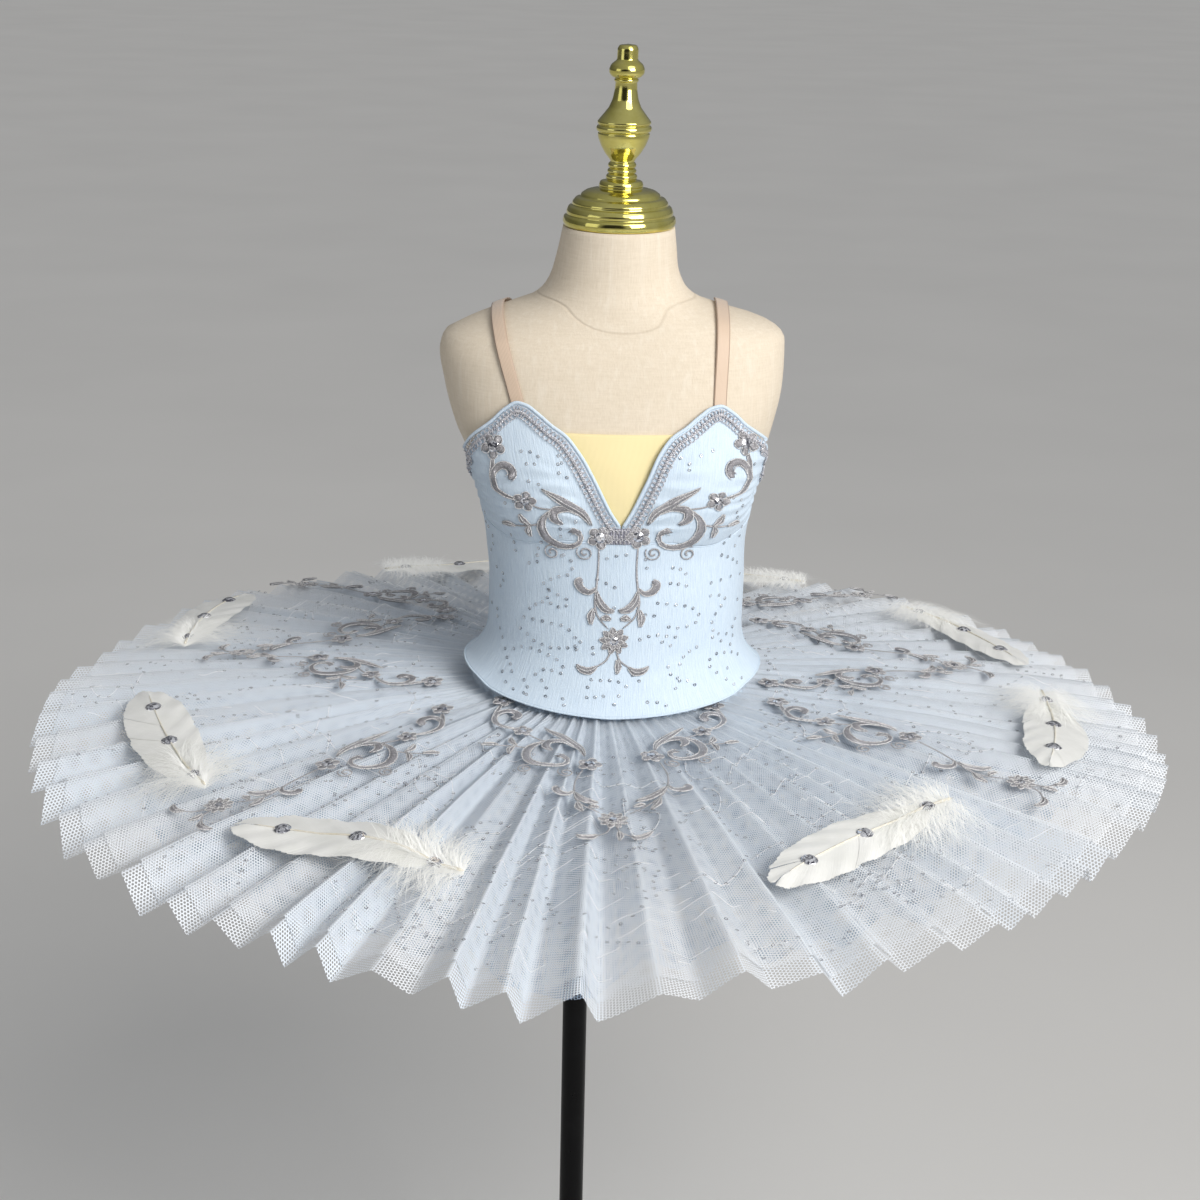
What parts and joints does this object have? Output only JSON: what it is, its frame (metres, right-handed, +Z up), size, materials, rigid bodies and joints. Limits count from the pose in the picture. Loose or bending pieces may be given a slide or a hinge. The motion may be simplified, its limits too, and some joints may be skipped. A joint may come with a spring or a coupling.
{
  "type": "ballet tutu dress on a dress form",
  "caption": "Child's classical tutu with a cupped bodice, a flat pleated net skirt, scroll appliques and feathers, worn by a limbless form on a pole stand.",
  "frame": {"origin": "on the floor, at the middle of the base's underside, on the pole's axis", "axes": "+Z up along the pole, -Y towards the front of the bodice, +X towards the side that is on the right when the front is seen"},
  "size_m": [0.9228, 0.9209, 1.2809],
  "materials": {
    "bodice_cloth": "pale-blue crinkled stretch cloth, matte",
    "silver_embroidery": "silver-grey satin-stitch applique with a slight metallic sheen",
    "black_stand": "smooth black paint, semi-gloss",
    "linen": "beige linen cover, matte",
    "gold_cap": "polished greenish-gold plating",
    "insert_jersey": "pale-yellow jersey, matte",
    "braid": "silver-lilac looped braid with metallic threads",
    "elastic": "nude elastic band, satin",
    "brief_jersey": "pale-blue stretch jersey, matte",
    "overlay_tulle": "fine pale-blue tulle with silver thread",
    "net": "stiff whitish-blue hexagonal net",
    "under_net": "stiff blue hexagonal net",
    "feather": "soft white feather and down"
  },
  "bodies": {
    "root": {"applique_cup_left": "silver_embroidery", "applique_cup_right": "silver_embroidery", "applique_vine": "silver_embroidery", "bodice_back": "bodice_cloth", "bodice_front": "bodice_cloth", "brief": "brief_jersey", "cup_left": "bodice_cloth", "cup_right": "bodice_cloth", "feather_1": "feather", "feather_2": "feather", "feather_3": "feather", "feather_4": "feather", "feather_5": "feather", "feather_6": "feather", "feather_7": "feather", "feather_8": "feather", "form_neck_cap": "gold_cap", "form_torso": "linen", "modesty_insert": "insert_jersey", "motif_1": "silver_embroidery", "motif_2": "silver_embroidery", "motif_3": "silver_embroidery", "motif_4": "silver_embroidery", "motif_5": "silver_embroidery", "motif_6": "silver_embroidery", "motif_7": "silver_embroidery", "motif_8": "silver_embroidery", "neck_trim_left": "braid", "neck_trim_right": "braid", "skirt_net": "net", "skirt_overlay": "overlay_tulle", "skirt_under_1": "under_net", "skirt_under_2": "under_net", "stand_base": "black_stand", "stand_pole": "black_stand", "strap_left": "elastic", "strap_right": "elastic"}
  },
  "joints": []
}
